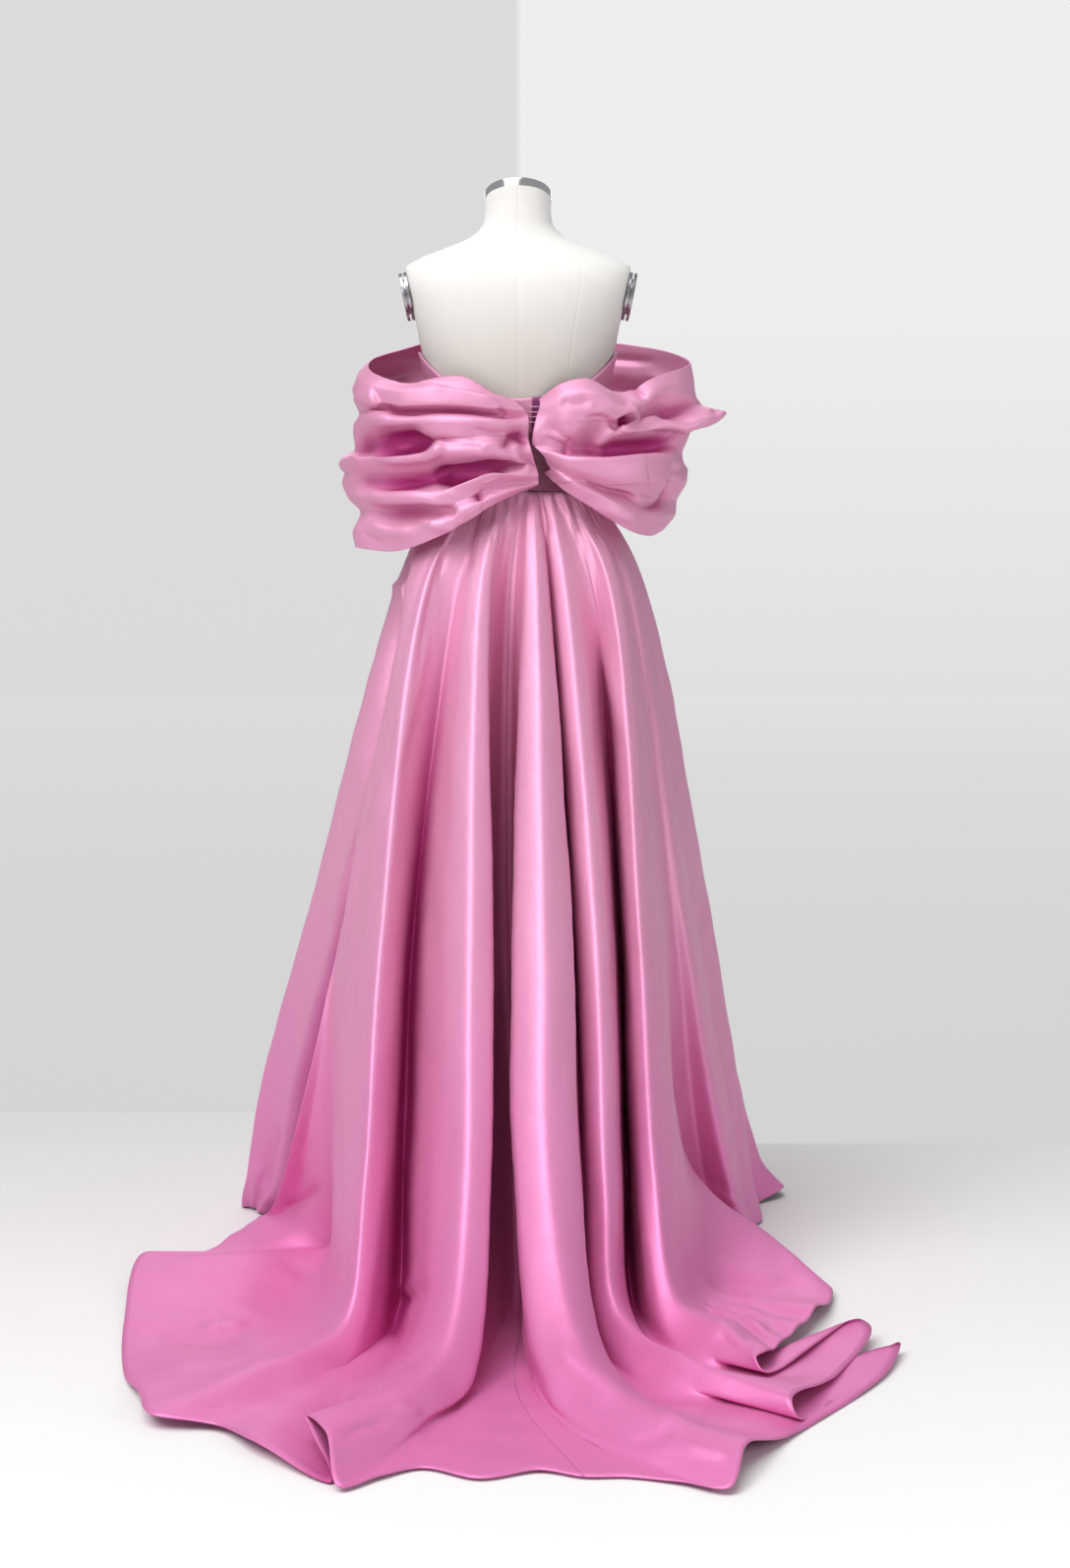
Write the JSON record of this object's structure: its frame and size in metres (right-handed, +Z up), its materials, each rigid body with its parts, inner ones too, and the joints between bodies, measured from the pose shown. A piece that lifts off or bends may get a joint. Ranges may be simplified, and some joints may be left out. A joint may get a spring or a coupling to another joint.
{
  "type": "a-line gown on a dress form",
  "caption": "Evening gown in heavy satin with great off-the-shoulder draped sleeves, a pleated A-line skirt and a train, on a limbless dress form with a round stand.",
  "frame": {"origin": "centre of the stand base's underside, on the floor", "axes": "+Z up along the pole, +Y the way the wearer would face, +X towards the wearer's right side; the train runs out along -Y"},
  "size_m": [1.0618, 1.6589, 1.5962],
  "materials": {
    "satin": "heavy rose-pink satin with a soft sheen",
    "beaded_satin": "dark satin with small beads",
    "underlap": "plain dark lining cloth",
    "elastic": "thin covered elastic",
    "linen": "off-white woven cover, stretched smooth",
    "chrome": "polished metal",
    "painted_steel": "dark paint, satin"
  },
  "bodies": {
    "root": {"arm_plate_left": "chrome", "arm_plate_right": "chrome", "back_underlap": "underlap", "beaded_panel": "beaded_satin", "bodice_back_left": "satin", "bodice_back_right": "satin", "bodice_front": "satin", "bodice_side_left": "satin", "bodice_side_right": "satin", "closure_bar_1": "elastic", "closure_bar_2": "elastic", "closure_bar_3": "elastic", "closure_bar_4": "elastic", "drape_left": "satin", "drape_right": "satin", "dress_form": "linen", "neck_cap": "chrome", "skirt_back_left": "satin", "skirt_back_right": "satin", "skirt_front": "satin", "stand_base": "painted_steel", "stand_pole": "painted_steel"}
  },
  "joints": []
}
